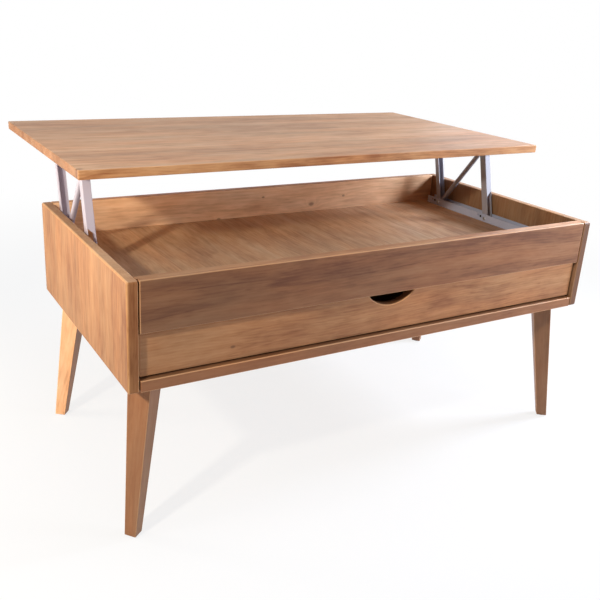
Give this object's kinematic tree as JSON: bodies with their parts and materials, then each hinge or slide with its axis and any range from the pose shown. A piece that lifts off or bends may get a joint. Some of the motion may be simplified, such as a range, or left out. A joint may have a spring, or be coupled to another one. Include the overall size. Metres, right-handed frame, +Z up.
{
  "type": "lift-top coffee table",
  "caption": "Wooden coffee table on splayed tapered legs, with a full-width drawer under a storage compartment and a lid that lifts and swings on parallel steel arms.",
  "frame": {"origin": "on the floor, under the middle of the bounding box of the table with its lid raised (the case centre is 105 mm in front of it)", "axes": "+X to the right end seen from the drawer side, +Y to the back (the way the lid swings out), +Z up"},
  "size_m": [1.024, 0.7102, 0.5865],
  "materials": {
    "lid_wood": "satin lacquer",
    "side_wood": "satin lacquer",
    "case_wood": "satin lacquer",
    "floor_wood": "satin lacquer",
    "front_wood": "satin lacquer",
    "drawer_wood": "clear lacquer",
    "leg_wood": "satin lacquer",
    "arm_steel": "grey powder coat",
    "bright_steel": "zinc plate",
    "runner_steel": "zinc plate",
    "bolt_steel": "zinc plate",
    "glide_plastic": "matt",
    "pad_rubber": "matt"
  },
  "bodies": {
    "case": {"side_panel_left": "side_wood", "side_panel_right": "side_wood", "back_panel": "case_wood", "front_apron": "case_wood", "bottom_board": "case_wood", "compartment_floor": "floor_wood", "floor_cleat_left": "floor_wood", "floor_cleat_right": "floor_wood", "leg_front_left": "leg_wood", "leg_bolt_front_left": "bolt_steel", "foot_glide_front_left": "glide_plastic", "leg_front_right": "leg_wood", "leg_bolt_front_right": "bolt_steel", "foot_glide_front_right": "glide_plastic", "leg_back_left": "leg_wood", "leg_bolt_back_left": "bolt_steel", "foot_glide_back_left": "glide_plastic", "leg_back_right": "leg_wood", "leg_bolt_back_right": "bolt_steel", "foot_glide_back_right": "glide_plastic", "base_rail_left": "arm_steel", "base_rail_screws_left": "bright_steel", "stop_pins_left": "bright_steel", "lower_pin_rear_left": "bright_steel", "lower_pin_front_left": "bright_steel", "runner_case_left": "runner_steel", "base_rail_right": "arm_steel", "base_rail_screws_right": "bright_steel", "stop_pins_right": "bright_steel", "lower_pin_rear_right": "bright_steel", "lower_pin_front_right": "bright_steel", "runner_case_right": "runner_steel"},
    "lid": {"lid_panel": "lid_wood", "lid_bumper_front_left": "pad_rubber", "lid_bumper_front_right": "pad_rubber", "lid_bumper_back_left": "pad_rubber", "lid_bumper_back_right": "pad_rubber", "lid_rail_left": "arm_steel", "lid_rail_screws_left": "bright_steel", "upper_pin_rear_left": "bright_steel", "upper_pin_front_left": "bright_steel", "lid_rail_right": "arm_steel", "lid_rail_screws_right": "bright_steel", "upper_pin_rear_right": "bright_steel", "upper_pin_front_right": "bright_steel"},
    "drawer": {"drawer_front": "front_wood", "drawer_side_left": "drawer_wood", "drawer_side_right": "drawer_wood", "drawer_back": "drawer_wood", "drawer_bottom": "drawer_wood", "runner_drawer_left": "runner_steel", "runner_drawer_right": "runner_steel"},
    "rear_arm_left": {"rear_arm_left": "arm_steel"},
    "front_arm_left": {"front_arm_left": "arm_steel"},
    "strut_tube_left": {"strut_tube_left": "arm_steel"},
    "strut_rod_left": {"strut_rod_left": "bright_steel"},
    "rear_arm_right": {"rear_arm_right": "arm_steel"},
    "front_arm_right": {"front_arm_right": "arm_steel"},
    "strut_tube_right": {"strut_tube_right": "arm_steel"},
    "strut_rod_right": {"strut_rod_right": "bright_steel"}
  },
  "joints": [
    {"name": "lid_lift", "type": "hinge", "parent": "case", "child": "rear_arm_right", "pos_m": [0.4702, 0.07087, 0.404], "axis": [1, 0, 0], "range_deg": [0, 86.5]},
    {"name": "rear_arm_left_turn", "type": "hinge", "parent": "case", "child": "rear_arm_left", "pos_m": [-0.4702, 0.07087, 0.404], "axis": [1, 0, 0], "range_deg": [0, 86.6]},
    {"name": "front_arm_right_turn", "type": "hinge", "parent": "case", "child": "front_arm_right", "pos_m": [0.4702, -0.09413, 0.404], "axis": [1, 0, 0], "range_deg": [0, 86.6]},
    {"name": "front_arm_left_turn", "type": "hinge", "parent": "case", "child": "front_arm_left", "pos_m": [-0.4702, -0.09413, 0.404], "axis": [1, 0, 0], "range_deg": [0, 86.6]},
    {"name": "lid_level", "type": "hinge", "parent": "rear_arm_right", "child": "lid", "pos_m": [0.4702, 0.11218, 0.56374], "axis": [1, 0, 0], "range_deg": [-86.6, 0]},
    {"name": "strut_tube_right_turn", "type": "hinge", "parent": "case", "child": "strut_tube_right", "pos_m": [0.4702, 0.07087, 0.404], "axis": [1, 0, 0], "range_deg": [0, 43.35]},
    {"name": "strut_rod_right_turn", "type": "hinge", "parent": "front_arm_right", "child": "strut_rod_right", "pos_m": [0.4702, -0.05282, 0.56374], "axis": [1, 0, 0], "range_deg": [-43.35, 0]},
    {"name": "strut_tube_left_turn", "type": "hinge", "parent": "case", "child": "strut_tube_left", "pos_m": [-0.4702, 0.07087, 0.404], "axis": [1, 0, 0], "range_deg": [0, 43.35]},
    {"name": "strut_rod_left_turn", "type": "hinge", "parent": "front_arm_left", "child": "strut_rod_left", "pos_m": [-0.4702, -0.05282, 0.56374], "axis": [1, 0, 0], "range_deg": [-43.35, 0]},
    {"name": "drawer_slide", "type": "slide", "parent": "case", "child": "drawer", "axis": [0, -1, 0], "range_m": [0, 0.3]}
  ],
  "couplings": [
    {"joint": "rear_arm_left_turn", "follows": "lid_lift", "ratio": 1},
    {"joint": "front_arm_right_turn", "follows": "lid_lift", "ratio": 1},
    {"joint": "front_arm_left_turn", "follows": "lid_lift", "ratio": 1},
    {"joint": "lid_level", "follows": "lid_lift", "ratio": -1},
    {"joint": "strut_tube_right_turn", "follows": "lid_lift", "ratio": 0.5},
    {"joint": "strut_rod_right_turn", "follows": "lid_lift", "ratio": -0.5},
    {"joint": "strut_tube_left_turn", "follows": "lid_lift", "ratio": 0.5},
    {"joint": "strut_rod_left_turn", "follows": "lid_lift", "ratio": -0.5}
  ]
}
